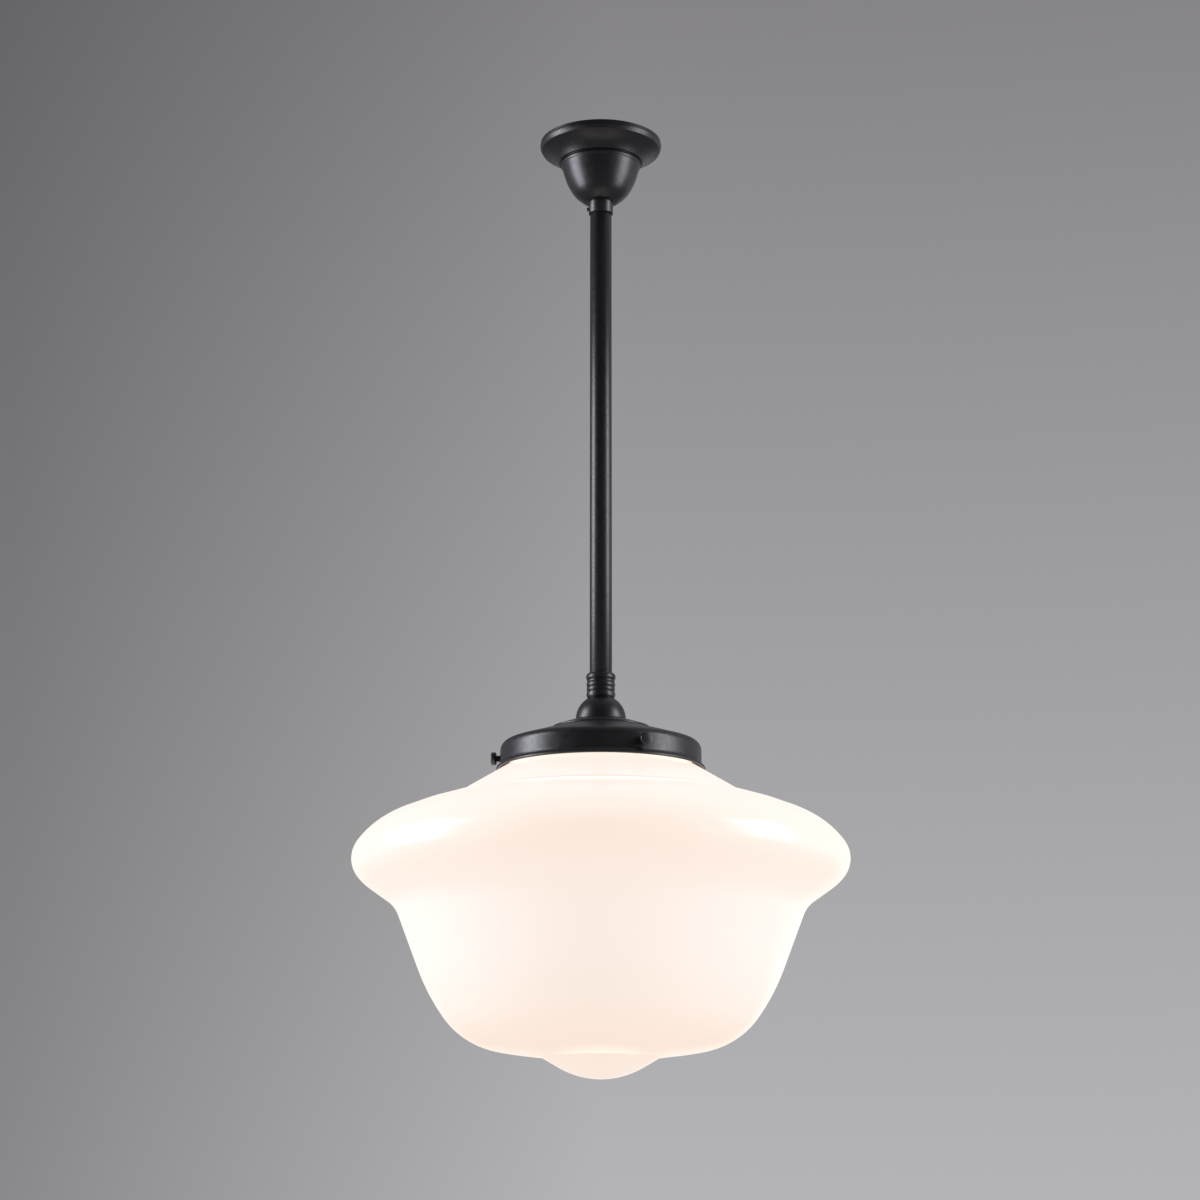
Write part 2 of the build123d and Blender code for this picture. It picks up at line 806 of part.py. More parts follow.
# The bulb's neck flares out through an arc that meets the ball of glass
neck_top = bulb_cap_bottom + bulb_neck_insertion
flare_cosine = (bulb_neck_radius + bulb_neck_flare) / (bulb_radius + bulb_neck_flare)
flare_sine = sqrt(1 - flare_cosine**2)
flare_turn = 90 - Vector(0, 1).get_angle(Vector(flare_sine, flare_cosine))
bulb_neck_bottom = bulb_top - bulb_length + bulb_radius + (bulb_radius + bulb_neck_flare) * flare_sine
bulb_section = [
    (neck_top - bulb_neck_bottom, 0),
    (bulb_neck_flare, flare_turn - 90),
    (bulb_radius, 180 - flare_turn),
]
with BuildPart() as bulb_glass:
    with BuildSketch(Plane.XZ):
        with BuildLine():
            outer_start, outer_end = skin((bulb_neck_radius, neck_top), 90, bulb_section)
            inner_start, inner_end = skin((bulb_neck_radius, neck_top), 90, bulb_section, bulb_wall)
            Line(outer_start, inner_start)
            Line(outer_end, inner_end)
        make_face()
    revolve(axis=Axis.Z)
finish(bulb_glass, "bulb_glass")

# Leads: out of the insert, over the strap, down through the rod and on to the lampholder
lead_top = -lead_top_gap - lead_radius
for pole, (pole_x, side) in poles.items():
    lead_points = [
        (pole_x, side * (insert_length / 2 - lead_insertion), insert_height),
        (pole_x, side * lead_side_y, insert_height),
        (pole_x, side * lead_side_y, lead_top),
        (0, side * lead_spacing / 2, lead_top),
        (0, side * lead_spacing / 2, insert_top),
    ]
    with BuildPart() as lead:
        with BuildLine():
            route = FilletPolyline(*lead_points, radius=[lead_entry_bend, lead_bend, lead_bend])
        with BuildSketch(Plane(origin=route @ 0, x_dir=(0, 0, 1), z_dir=route % 0)):
            RegularPolygon(lead_radius, 6)
        sweep(path=route)
    finish(lead, f"lead_{pole}")
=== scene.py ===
import json
import math

import bpy
from bpy.props import FloatProperty, FloatVectorProperty, IntProperty, PointerProperty
from bpy.types import Operator, Panel, PropertyGroup
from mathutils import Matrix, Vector


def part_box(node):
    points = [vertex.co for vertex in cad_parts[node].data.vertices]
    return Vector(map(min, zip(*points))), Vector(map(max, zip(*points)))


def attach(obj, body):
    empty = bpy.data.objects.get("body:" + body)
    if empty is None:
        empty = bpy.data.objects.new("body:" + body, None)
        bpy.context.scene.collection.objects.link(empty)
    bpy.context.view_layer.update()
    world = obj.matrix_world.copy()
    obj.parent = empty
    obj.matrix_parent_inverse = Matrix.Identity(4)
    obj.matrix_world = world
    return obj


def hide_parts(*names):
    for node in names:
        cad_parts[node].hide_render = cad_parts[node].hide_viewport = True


bl_info = {
    "name": "Schoolhouse Pendant Light",
    "version": (1, 0, 0),
    "blender": (4, 5, 0),
    "location": "View3D > Sidebar > Pendant",
    "description": "Dresses the packed pendant light: spun metal, blown opal glass and a plain studio",
    "category": "Add Mesh",
}

# The light hangs down from the origin along -Z. A section is drawn as radius and height, in metres,
# and its heading is counted in degrees below straight outward.
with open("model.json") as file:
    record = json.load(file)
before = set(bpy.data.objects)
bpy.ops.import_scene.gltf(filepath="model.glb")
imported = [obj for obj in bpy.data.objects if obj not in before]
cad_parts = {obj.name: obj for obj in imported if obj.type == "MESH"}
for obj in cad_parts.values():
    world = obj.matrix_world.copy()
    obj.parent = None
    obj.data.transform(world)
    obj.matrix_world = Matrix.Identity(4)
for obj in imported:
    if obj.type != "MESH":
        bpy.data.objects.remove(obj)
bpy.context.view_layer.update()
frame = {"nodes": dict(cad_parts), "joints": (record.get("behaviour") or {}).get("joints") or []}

# The lowest and the highest corner of the solids that the shown pieces are fitted to
ROD_LOW, ROD_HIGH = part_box("rod")
ROSE_LOW, ROSE_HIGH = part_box("ceiling_rose")
COLLAR_LOW, COLLAR_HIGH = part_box("rose_collar")
COUPLING_LOW, COUPLING_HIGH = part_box("coupling")
BALL_LOW, BALL_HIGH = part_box("ball_cover")
GALLERY_LOW, GALLERY_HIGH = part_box("gallery")
SHADE_LOW, SHADE_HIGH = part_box("shade")
BUSH_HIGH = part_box("rod_top_bush")[1]
NIPPLE_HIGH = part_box("gallery_nipple")[1]

# The largest turn, in degrees, that a drawn arc takes in one flat
ARC_STEP = 4.0
# Nearer to the axis than this, in metres, a ring is drawn as one point
ON_AXIS = 1e-7
# Edges stay sharp above these angles, in degrees
SHOWN_CREASE = 50.0
SOLID_CREASE = 30.0

# A mottle is this many grains across, and the gloss changes over fewer of them and by this share
MOTTLE_GRAINS = 12
GLOSS_GRAINS = 5
GLOSS_SPREAD = 0.12
GRAIN_STRENGTH = 0.35
# The second colour of a plain mottle, against the first
MOTTLE_SHADE = 0.97

# Depth of the painted glow at shares of the shade's height, from the button up to the lip: painted shading,
# deeper where the glass lies far from the bulb
GLOW_DEPTHS = (
    (0.0, 0.4), (0.09, 0.95), (0.20, 0.4), (0.42, 0.0),
    (0.60, 0.7), (0.72, 0.6), (0.84, 0.0), (0.95, 1.0),
)

# Where each change of the backdrop starts and ends, along one axis of the direction outward
HORIZON_FADE = (0.0, 0.45)
FRONT_FADE = (-0.5, 0.4)
LEFT_FADE = (-0.22, 0.0)
OVERHEAD_FADE = (0.45, 0.9)

# Places of the two colours and of the result on a Mix node for colours
MIX_COLOURS = (6, 7)
MIX_RESULT = 2


def length(name, millimetres, words):
    return FloatProperty(name=name, description=words, default=millimetres / 1000, unit="LENGTH", precision=4)


def turn(name, degrees, words):
    return FloatProperty(name=name, description=words, default=math.radians(degrees), subtype="ANGLE")


def share(name, value, words):
    return FloatProperty(name=name, description=words, default=value, min=0.0, max=1.0, subtype="FACTOR")


def colour(name, values, words):
    return FloatVectorProperty(
        name=name, description=words, default=values, size=3, min=0.0, max=1.0, subtype="COLOR"
    )


class PENDANT_PG_shade(PropertyGroup):
    """Sizes of the blown glass shade, from its lipped neck down to the button."""

    wall: length("Wall", 3.0, "Thickness of the glass")
    lip_radius: length("Lip radius", 74.8, "Outside of the lip that rests on the screws")
    lip_height: length("Lip height", 4.2, "Height of the lip")
    lip_round: length("Lip rounding", 1.2, "Fire-polished rounding of the lip")
    neck_radius: length("Neck radius", 72.3, "Outside of the neck below the lip")
    neck_run: length("Neck run", 6.9, "Straight part of the neck")
    neck_bend: length("Neck bend", 6.0, "Radius where the neck flares out")
    shoulder_slope: turn("Shoulder slope", 31.2, "Slope of the shoulder below level")
    shoulder_run: length("Shoulder run", 38.2, "Straight part of the shoulder")
    roll_radius: length("Roll radius", 160.0, "Gentle roll before the crease")
    roll_turn: turn("Roll turn", 4.8, "Turn of the roll")
    crease_radius: length("Crease radius", 1.6, "Rounding in the ring crease")
    crease_turn: turn("Crease turn", 31.0, "Turn of the ring crease")
    brim_inner_radius: length("Inner brim radius", 64.0, "Curve just outside the crease")
    brim_inner_turn: turn("Inner brim turn", 10.4, "Turn of the inner brim")
    brim_top_radius: length("Brim top radius", 257.0, "Nearly flat top of the brim")
    brim_top_turn: turn("Brim top turn", 8.3, "Turn of the brim's top")
    brim_shoulder_radius: length("Brim shoulder radius", 64.6, "Curve towards the brim's nose")
    brim_shoulder_turn: turn("Brim shoulder turn", 30.1, "Turn towards the brim's nose")
    brim_nose_radius: length("Brim nose radius", 19.9, "Round outer edge of the brim")
    brim_nose_turn: turn("Brim nose turn", 75.0, "Turn round the brim's edge")
    brim_under_radius: length("Brim under radius", 38.6, "Curve under the brim")
    brim_under_turn: turn("Brim under turn", 15.8, "Turn under the brim")
    brim_under_run: length("Brim under run", 18.6, "Straight part under the brim")
    throat_radius: length("Throat radius", 28.5, "Hollow curve between brim and bowl")
    throat_turn: turn("Throat turn", 33.6, "Turn of the hollow curve")
    body_run: length("Body run", 45.1, "Straight side of the bowl")
    belly_radius: length("Belly radius", 160.0, "Slow curve low on the side")
    belly_turn: turn("Belly turn", 15.1, "Turn of the slow curve")
    corner_radius: length("Corner radius", 64.0, "Round corner into the base")
    corner_turn: turn("Corner turn", 42.6, "Turn of the round corner")
    base_radius: length("Base radius", 190.0, "Nearly flat base")
    base_turn: turn("Base turn", 4.0, "Turn of the base")
    cove_radius: length("Button cove", 5.0, "Small hollow where the button starts")
    button_slope: turn("Button slope", 30.0, "Slope of the button's side")
    button_side_run: length("Button side run", 14.9, "Straight side of the button")
    button_radius: length("Button radius", 66.0, "Curve of the button's cap")


class PENDANT_PG_metal(PropertyGroup):
    """Sizes of the spun and turned metal."""

    sheet: length("Gallery sheet", 1.2, "Thickness of the gallery and the ball")
    rose_sheet: length("Rose sheet", 1.0, "Thickness of the rose")
    thread_gap: length("Thread gap", 0.05, "Clearance round the nipples")
    rim_height: length("Rim height", 6.5, "From the ceiling to where the rim meets the saucer")
    rim_band: length("Rim band", 2.0, "Plain band between the ceiling and the rim's step")
    rim_step: turn("Rim step", 50.0, "How far the step turns out")
    rim_step_run: length("Rim step run", 0.35, "Width of the rim's step")
    rim_ridge: length("Rim ridge", 0.9, "Upright ridge under the step")
    rim_roll_radius: length("Rim roll radius", 3.0, "Curve under the ridge")
    rim_roll: turn("Rim roll", 28.0, "How far the rim rolls in under the ridge")
    saucer_radius: length("Saucer radius", 30.0, "Hollow curve of the rose's saucer")
    saucer_slope: turn("Saucer slope", 20.0, "Slope of the saucer at the rim")
    saucer_turn: turn("Saucer turn", 34.3, "Turn of the saucer")
    crease_radius: length("Crease radius", 33.2, "Radius of the crease above the bead")
    fine_bend: length("Fine bend", 0.5, "Rounding of the sharp corners")
    bead_radius: length("Bead radius", 2.4, "Curve of the rose's bead")
    bead_start: turn("Bead start", 50.0, "Heading where the bead starts")
    bead_end: turn("Bead end", 132.0, "Heading where the bead ends")
    cup_cove: length("Cup cove", 3.0, "Hollow under the bead")
    side_heading: turn("Cup side", 106.0, "Heading of the cup's side")
    side_radius: length("Cup side radius", 52.0, "Upper curve of the cup")
    turn_radius: length("Cup turn radius", 22.7, "Lower curve of the cup")
    cup_turn: turn("Cup turn", 18.0, "Turn of each of the cup's two curves")
    cone_run: length("Cup cone run", 4.4, "Straight part low on the cup")
    floor_radius: length("Cup floor radius", 6.0, "Curve into the cup's floor")
    collar_radius: length("Collar radius", 10.2, "Outside of the collar under the cup")
    collar_gap: length("Collar gap", 0.08, "Running clearance round the rod and the collar")
    collar_flange: length("Collar flange", 1.5, "Thickness of the flange inside the cup")
    collar_chamfer: length("Collar chamfer", 0.5, "Chamfer round the collar's foot")
    pad_radius: length("Pad radius", 21.0, "Flat under the ball")
    pad_bend: length("Pad bend", 3.0, "Curve from the pad into the raised disc")
    disc_slope: turn("Disc slope", 18.5, "Slope of the raised disc")
    disc_radius: length("Disc radius", 39.5, "Outside of the raised disc")
    disc_bend: length("Disc bend", 1.0, "Rounding of the disc's step")
    cone_slope: turn("Top slope", 16.8, "Slope of the gallery's top")
    shoulder_radius: length("Gallery shoulder", 7.0, "Curve from the top into the wall")
    wall_radius: length("Gallery radius", 80.2, "Outside of the gallery's wall")
    flare_bend: length("Flare bend", 5.0, "Curve out into the lip")
    flare_angle: turn("Flare angle", 38.0, "How far the lip turns out")
    flare_run: length("Flare run", 2.0, "Straight part of the lip")
    bead_section: length("Lip bead", 1.2, "Radius of the rolled edge")
    socket_radius: length("Coupling socket", 9.05, "Inside of the coupling round the rod")
    reed_start: length("Coupling top", 10.4, "Radius of the coupling's top edge")
    reed_waist: length("Coupling waist", 10.9, "Radius in the grooves between the reeds")
    reed_foot: length("Coupling foot", 10.4, "Radius of the coupling's foot")
    bead_height: length("Coupling bead height", 5.4, "Height of the bead at the top")
    bead_bow: length("Coupling bead bow", 1.25, "How far the bead stands out")
    thin_height: length("Thin reed height", 1.8, "Height of the thin reed under the bead")
    thin_bow: length("Thin reed bow", 0.3, "How far the thin reed stands out")
    body_height: length("Coupling body height", 4.0, "Height of the coupling's body")
    body_bow: length("Coupling body bow", 0.65, "How far the body stands out")
    ring_height: length("Coupling ring height", 3.4, "Height of the ring under the body")
    ring_bow: length("Coupling ring bow", 0.5, "How far the ring stands out")
    foot_bow: length("Coupling foot bow", 0.95, "How far the foot stands out")
    ball_skirt: length("Ball skirt", 0.7, "How far the ball goes below its widest place")
    shank_radius: length("Screw shank radius", 2.5, "Shank of a thumb screw")
    head_radius: length("Screw head radius", 5.2, "Head of a thumb screw")
    head_length: length("Screw head length", 4.3, "Thickness of a thumb screw's head")
    head_round: length("Screw head rounding", 1.1, "Rounding of the head's edges")
    head_dome: length("Screw head dome", 0.35, "How far the head's face stands out")
    screw_reach: length("Screw reach", 4.0, "From the gallery's wall to the head")
    tip_length: length("Tip length", 2.03, "Soft tip between the glass and the shank")


class PENDANT_PG_finish(PropertyGroup):
    """Colours and gloss of the finishes."""

    black: colour("Satin black", (0.0048, 0.0045, 0.0060), "Lacquer on the metal")
    black_worn: colour("Satin black, light", (0.0070, 0.0066, 0.0088), "Lighter mottling in the lacquer")
    black_roughness: share("Lacquer roughness", 0.37, "Roughness of the lacquer")
    black_gloss: share("Lacquer gloss", 0.72, "Specular level of the lacquer")
    opal: colour("Opal glass", (0.30, 0.30, 0.30), "Body of the glass, by reflected light alone")
    # Painted glow: the glass glows by its own colour, which stands in for the bulb's light through it
    glow: colour("Glow", (1.0, 0.885, 0.815), "Colour of the lit glass")
    glow_strength: FloatProperty(
        name="Glow strength", description="How bright the lit glass is", default=0.91
    )
    # Painted shade: the glass is drawn darker in the ring crease, where shade falls
    crease_painted_shade: colour("Glow in the crease", (0.78, 0.66, 0.57), "Colour of the glass in the ring crease")
    crease_shade_reach: length("Crease reach", 2.2, "How far that colour reaches from the ring crease")
    # Painted shading of the glow, deeper where the glass lies far from the bulb
    glow_deep: colour("Deep glow", (1.0, 0.81, 0.675), "Colour where the glass lies far from the bulb")
    glass_roughness: share("Glass roughness", 0.26, "Roughness of the glass")
    glass_coat: share("Glass coat", 0.12, "Weight of the clear skin on the glass")
    coat_roughness: share("Coat roughness", 0.17, "Roughness of the clear skin")


class PENDANT_PG_studio(PropertyGroup):
    """The stage round the light."""

    floor_colour: colour("Floor", (0.62, 0.615, 0.61), "Plain floor")
    upper_grey: colour("Upper grey", (0.235, 0.228, 0.238), "Backdrop high up")
    lower_grey: colour("Lower grey", (0.465, 0.465, 0.485), "Backdrop near the floor")
    front_share: share("Front level", 0.28, "Level of the room behind the camera, against the backdrop")
    overhead: FloatProperty(
        name="Overhead level", description="Level straight overhead, against the backdrop", default=2.2
    )
    left_share: share("Left level", 0.55, "Level of the backdrop to the left, against its middle")
    left_power: FloatProperty(name="Left softbox", description="Power in watts", default=16.5, unit="POWER")
    right_power: FloatProperty(name="Right softbox", description="Power in watts", default=10.5, unit="POWER")
    left_tint: colour("Left tint", (0.90, 0.915, 1.0), "Colour of the left softbox")
    right_tint: colour("Right tint", (0.95, 0.93, 1.0), "Colour of the right softbox")
    softbox_distance: length("Softbox distance", 1200.0, "From the rod to each softbox")
    softbox_width: length("Softbox width", 540.0, "Width of each softbox")
    softbox_height: length("Softbox height", 1150.0, "Height of each softbox")
    softbox_rise: length("Softbox rise", -200.0, "Height of each softbox's middle, from the ceiling plane up")
    floor_drop: length("Floor drop", 2700.0, "From the ceiling plane to the floor")
    floor_reach: length("Floor reach", 9000.0, "Half the width of the floor")
    left_azimuth: turn("Left azimuth", -84.0, "Place of the left softbox, from the front")
    right_azimuth: turn("Right azimuth", 76.0, "Place of the right softbox, from the front")
    lens: FloatProperty(name="Lens", description="Focal length in millimetres", default=78.0)
    sensor: FloatProperty(name="Sensor", description="Width in millimetres", default=36.0)
    camera_distance: length("Camera distance", 2043.6, "In front of the rod")
    camera_drop: length("Camera drop", 894.9, "Below the ceiling")
    camera_side: length("Camera side", -0.7, "Sideways from the rod")
    camera_pitch: turn("Camera pitch", 13.7, "How far the camera looks up")
    facets: IntProperty(name="Facets", description="Facets round each turned piece", default=192, min=24)


def settings():
    scene = bpy.context.scene
    return scene.pendant_shade, scene.pendant_metal, scene.pendant_finish, scene.pendant_studio


def heading(angle):
    """The direction of a heading in the section's plane."""
    return Vector((math.cos(angle), -math.sin(angle)))


def into_wall(angle):
    """The direction from a skin with this heading into the sheet."""
    return Vector((-math.sin(angle), -math.cos(angle)))


def arc_offset(radius, start, end):
    """From the start of an arc to the place where its heading is the end angle."""
    turned = Vector((math.sin(end) - math.sin(start), math.cos(end) - math.cos(start)))
    return turned * math.copysign(radius, end - start)


def trace(start, angle, stretches, inset=0.0):
    """Points along a section, moved into the wall by the inset. A stretch is a run (length, 0)
    or a bend (radius, turn), which is positive towards the axis."""
    here = Vector(start)
    points = [here + into_wall(angle) * inset]
    for size, turned in stretches:
        if turned == 0:
            here = here + heading(angle) * size
            points.append(here + into_wall(angle) * inset)
            continue
        if turned > 0 and size < inset:
            corner = here + heading(angle) * size * math.tan(turned / 2)
            both = into_wall(angle) + into_wall(angle + turned)
            points[-1] = corner + both * inset / (1 + math.cos(turned))
        else:
            steps = max(2, round(abs(math.degrees(turned)) / ARC_STEP))
            for step in range(1, steps + 1):
                there = angle + turned * step / steps
                points.append(here + arc_offset(size, angle, there) + into_wall(there) * inset)
        here = here + arc_offset(size, angle, angle + turned)
        angle += turned
    return points


def trace_end(start, angle, stretches):
    """The place and the heading at the end of a section."""
    here = Vector(start)
    for size, turned in stretches:
        here = here + (arc_offset(size, angle, angle + turned) if turned else heading(angle) * size)
        angle += turned
    return here, angle


def bowed(start, end, bow):
    """Points after the start of an arc that stands out by the bow at its middle."""
    chord = end - start
    half = chord.length / 2
    radius = (half * half + bow * bow) / (2 * bow)
    reach = math.asin(half / radius)
    middle = math.atan2(-chord.y, chord.x)
    steps = max(4, round(2 * math.degrees(reach) / ARC_STEP))
    first = middle - reach
    turned = 2 * reach / steps
    return [start + arc_offset(radius, first, first + turned * step) for step in range(1, steps + 1)]


def ring_section(centre, radius, sides=20):
    """A closed round section, for a rolled edge."""
    return [centre + heading(math.tau * k / sides) * radius for k in range(sides)]


def nipple_hole():
    """Radius of the holes that the nipples go through."""
    _, metal, _, _ = settings()
    return NIPPLE_HIGH.x + metal.thread_gap


def lathe(name, sections, facets):
    """Turns sections about the light's axis. A section is a list of points and whether it is closed."""
    places, faces = [], []
    for points, closed in sections:
        rings = []
        for point in points:
            first = len(places)
            if point.x < ON_AXIS:
                places.append((0.0, 0.0, point.y))
                rings.append([first] * facets)
                continue
            for k in range(facets):
                angle = math.tau * k / facets
                places.append((point.x * math.sin(angle), -point.x * math.cos(angle), point.y))
            rings.append(list(range(first, first + facets)))
        pairs = list(zip(rings, rings[1:] + rings[:1] if closed else rings[1:]))
        for upper, lower in pairs:
            for k in range(facets):
                after = (k + 1) % facets
                corners = [upper[k], lower[k], lower[after], upper[after]]
                faces.append(list(dict.fromkeys(corners)))
    return shown_mesh(name, places, faces)


def shown_mesh(name, places, faces):
    """A smooth piece in the scene, with its sharp edges kept."""
    mesh = bpy.data.meshes.new(name)
    mesh.from_pydata(places, [], [face for face in faces if len(face) > 2])
    mesh.validate()
    mesh.shade_smooth()
    mesh.set_sharp_from_angle(angle=math.radians(SHOWN_CREASE))
    piece = bpy.data.objects.new(name, mesh)
    bpy.context.scene.collection.objects.link(piece)
    return piece


def stand_in(piece, node, body, material):
    """The piece takes a node's place, rides on its body and wears the material."""
    piece.data.materials.clear()
    piece.data.materials.append(material)
    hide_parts(node)
    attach(piece, body)
    return piece


def node_setter(material):
    """Clears a material's nodes and returns its tree, its shader and the object coordinates."""
    material.use_nodes = True
    tree = material.node_tree
    tree.nodes.clear()
    output = tree.nodes.new("ShaderNodeOutputMaterial")
    shader = tree.nodes.new("ShaderNodeBsdfPrincipled")
    tree.links.new(shader.outputs["BSDF"], output.inputs["Surface"])
    coordinates = tree.nodes.new("ShaderNodeTexCoord")
    return tree, shader, coordinates.outputs["Object"]


def add_noise(tree, where, scale, detail=3.0, stretch=(1.0, 1.0, 1.0)):
    mapping = tree.nodes.new("ShaderNodeMapping")
    mapping.inputs["Scale"].default_value = stretch
    noise = tree.nodes.new("ShaderNodeTexNoise")
    noise.inputs["Scale"].default_value = scale
    noise.inputs["Detail"].default_value = detail
    tree.links.new(where, mapping.inputs["Vector"])
    tree.links.new(mapping.outputs["Vector"], noise.inputs["Vector"])
    return noise.outputs["Fac"]


def add_range(tree, value, low, high, from_low=0.3, from_high=0.7):
    spread = tree.nodes.new("ShaderNodeMapRange")
    spread.inputs["From Min"].default_value = from_low
    spread.inputs["From Max"].default_value = from_high
    spread.inputs["To Min"].default_value = low
    spread.inputs["To Max"].default_value = high
    tree.links.new(value, spread.inputs["Value"])
    return spread.outputs["Result"]


def add_math(tree, operation, *values):
    """A sum of that kind. Each value is a number or the output of another node."""
    result = tree.nodes.new("ShaderNodeMath")
    result.operation = operation
    for socket, value in zip(result.inputs, values):
        if isinstance(value, bpy.types.NodeSocket):
            tree.links.new(value, socket)
        else:
            socket.default_value = value
    return result.outputs["Value"]


def add_mix(tree, factor, first, second):
    """A mix of two colours. Each is given by its values or is the output of another node."""
    mix = tree.nodes.new("ShaderNodeMix")
    mix.data_type = "RGBA"
    tree.links.new(factor, mix.inputs["Factor"])
    for place, tone in zip(MIX_COLOURS, (first, second)):
        if isinstance(tone, bpy.types.NodeSocket):
            tree.links.new(tone, mix.inputs[place])
        else:
            mix.inputs[place].default_value = (*tone, 1.0)
    return mix.outputs[MIX_RESULT]


def add_bump(tree, height, shader, distance, strength):
    bump = tree.nodes.new("ShaderNodeBump")
    bump.inputs["Distance"].default_value = distance
    bump.inputs["Strength"].default_value = strength
    tree.links.new(height, bump.inputs["Height"])
    tree.links.new(bump.outputs["Normal"], shader.inputs["Normal"])


def mottled_finish(
    name, first, second, roughness, metallic=0.0, grain=900.0, depth=0.00004, stretch=(1, 1, 1)
):
    """A finish of two close colours in a fine mottle, with a grain that the light catches."""
    material = bpy.data.materials.get(name)
    if material:
        return material
    material = bpy.data.materials.new(name)
    tree, shader, where = node_setter(material)
    mottle = add_range(tree, add_noise(tree, where, grain / MOTTLE_GRAINS), 0.0, 1.0)
    tree.links.new(add_mix(tree, mottle, first, second), shader.inputs["Base Color"])
    uneven = add_noise(tree, where, grain / GLOSS_GRAINS, stretch=stretch)
    gloss = add_range(tree, uneven, roughness * (1 - GLOSS_SPREAD), roughness * (1 + GLOSS_SPREAD))
    tree.links.new(gloss, shader.inputs["Roughness"])
    shader.inputs["Metallic"].default_value = metallic
    add_bump(tree, add_noise(tree, where, grain, 2.0, stretch), shader, depth, GRAIN_STRENGTH)
    return material


def satin_black():
    _, _, finish, _ = settings()
    lacquer = mottled_finish(
        "satin_black_lacquer", finish.black, finish.black_worn, finish.black_roughness, grain=1400.0
    )
    shader = next(node for node in lacquer.node_tree.nodes if node.type == "BSDF_PRINCIPLED")
    shader.inputs["Specular IOR Level"].default_value = finish.black_gloss
    return lacquer


def zinc_steel():
    return mottled_finish("zinc_plated_steel", (0.50, 0.51, 0.53), (0.60, 0.60, 0.58), 0.34, 1.0, grain=700.0)


def turned_brass():
    return mottled_finish(
        "turned_brass", (0.66, 0.48, 0.20), (0.74, 0.56, 0.26), 0.30, 1.0, grain=500.0, stretch=(1, 1, 14)
    )


def porcelain():
    return mottled_finish("glazed_porcelain", (0.80, 0.79, 0.76), (0.86, 0.85, 0.82), 0.18, grain=260.0)


def black_plastic():
    return mottled_finish(
        "moulded_black_plastic", (0.018, 0.018, 0.018), (0.026, 0.026, 0.025), 0.42, grain=1100.0
    )


def white_plastic():
    return mottled_finish("moulded_white_plastic", (0.72, 0.72, 0.69), (0.78, 0.78, 0.75), 0.45, grain=900.0)


def nylon():
    return mottled_finish("soft_white_nylon", (0.70, 0.69, 0.64), (0.76, 0.75, 0.71), 0.5, grain=1200.0)


def bright_aluminium():
    return mottled_finish(
        "bright_aluminium", (0.68, 0.68, 0.69), (0.76, 0.76, 0.77), 0.26, 1.0, grain=500.0, stretch=(1, 1, 12)
    )


def brown_insulation():
    return mottled_finish("brown_insulation", (0.10, 0.040, 0.018), (0.13, 0.055, 0.025), 0.5, grain=1500.0)


def blue_insulation():
    return mottled_finish("blue_insulation", (0.015, 0.06, 0.22), (0.022, 0.08, 0.27), 0.5, grain=1500.0)


def frosted_glass():
    return mottled_finish("frosted_bulb_glass", (0.84, 0.83, 0.80), (0.88, 0.87, 0.85), 0.48, grain=1600.0)


def opal_glass(crease_height):
    """Opal glass with a painted glow, which stands in for the bulb's light through it. The painted glow is
    deeper under the brim and in the base, away from the bulb, and darker in the ring crease as painted shade."""
    _, _, finish, _ = settings()
    material = bpy.data.materials.get("lit_opal_glass")
    if material:
        return material
    material = bpy.data.materials.new("lit_opal_glass")
    tree, shader, where = node_setter(material)
    cloud = add_range(tree, add_noise(tree, where, 9.0, 2.0), 0.0, 1.0)
    shaded = [part * MOTTLE_SHADE for part in finish.opal]
    tree.links.new(add_mix(tree, cloud, finish.opal, shaded), shader.inputs["Base Color"])
    split = tree.nodes.new("ShaderNodeSeparateXYZ")
    tree.links.new(where, split.inputs["Vector"])
    # Painted glow, deeper by height where the glass lies far from the bulb
    bands = tree.nodes.new("ShaderNodeValToRGB")
    bands.color_ramp.interpolation = "B_SPLINE"
    while len(bands.color_ramp.elements) < len(GLOW_DEPTHS):
        bands.color_ramp.elements.new(0.5)
    for element, (place, depth) in zip(bands.color_ramp.elements, GLOW_DEPTHS):
        element.position = place
        element.color = (depth, depth, depth, 1.0)
    height = add_range(tree, split.outputs["Z"], 0.0, 1.0, SHADE_LOW.z, SHADE_HIGH.z)
    tree.links.new(height, bands.inputs["Fac"])
    glow = add_mix(tree, bands.outputs["Color"], finish.glow, finish.glow_deep)
    # Painted shade: the glow darkens towards the ring crease
    from_crease = add_math(tree, "ABSOLUTE", add_math(tree, "SUBTRACT", split.outputs["Z"], crease_height))
    crease_shade_mask = add_range(tree, from_crease, 1.0, 0.0, 0.0, finish.crease_shade_reach)
    tree.links.new(add_mix(tree, crease_shade_mask, glow, finish.crease_painted_shade), shader.inputs["Emission Color"])
    shader.inputs["Emission Strength"].default_value = finish.glow_strength
    shader.inputs["Roughness"].default_value = finish.glass_roughness
    shader.inputs["Coat Weight"].default_value = finish.glass_coat
    shader.inputs["Coat Roughness"].default_value = finish.coat_roughness
    add_bump(tree, add_noise(tree, where, 14.0, 1.0), shader, 0.0006, 0.25)
    return material


def wear(node, material):
    """A node keeps its CAD shape and takes the material into each of its slots."""
    piece = frame["nodes"][node]
    if not piece.material_slots:
        piece.data.materials.append(material)
    for place in piece.material_slots:
        place.material = material
    piece.data.shade_smooth()
    piece.data.set_sharp_from_angle(angle=math.radians(SOLID_CREASE))


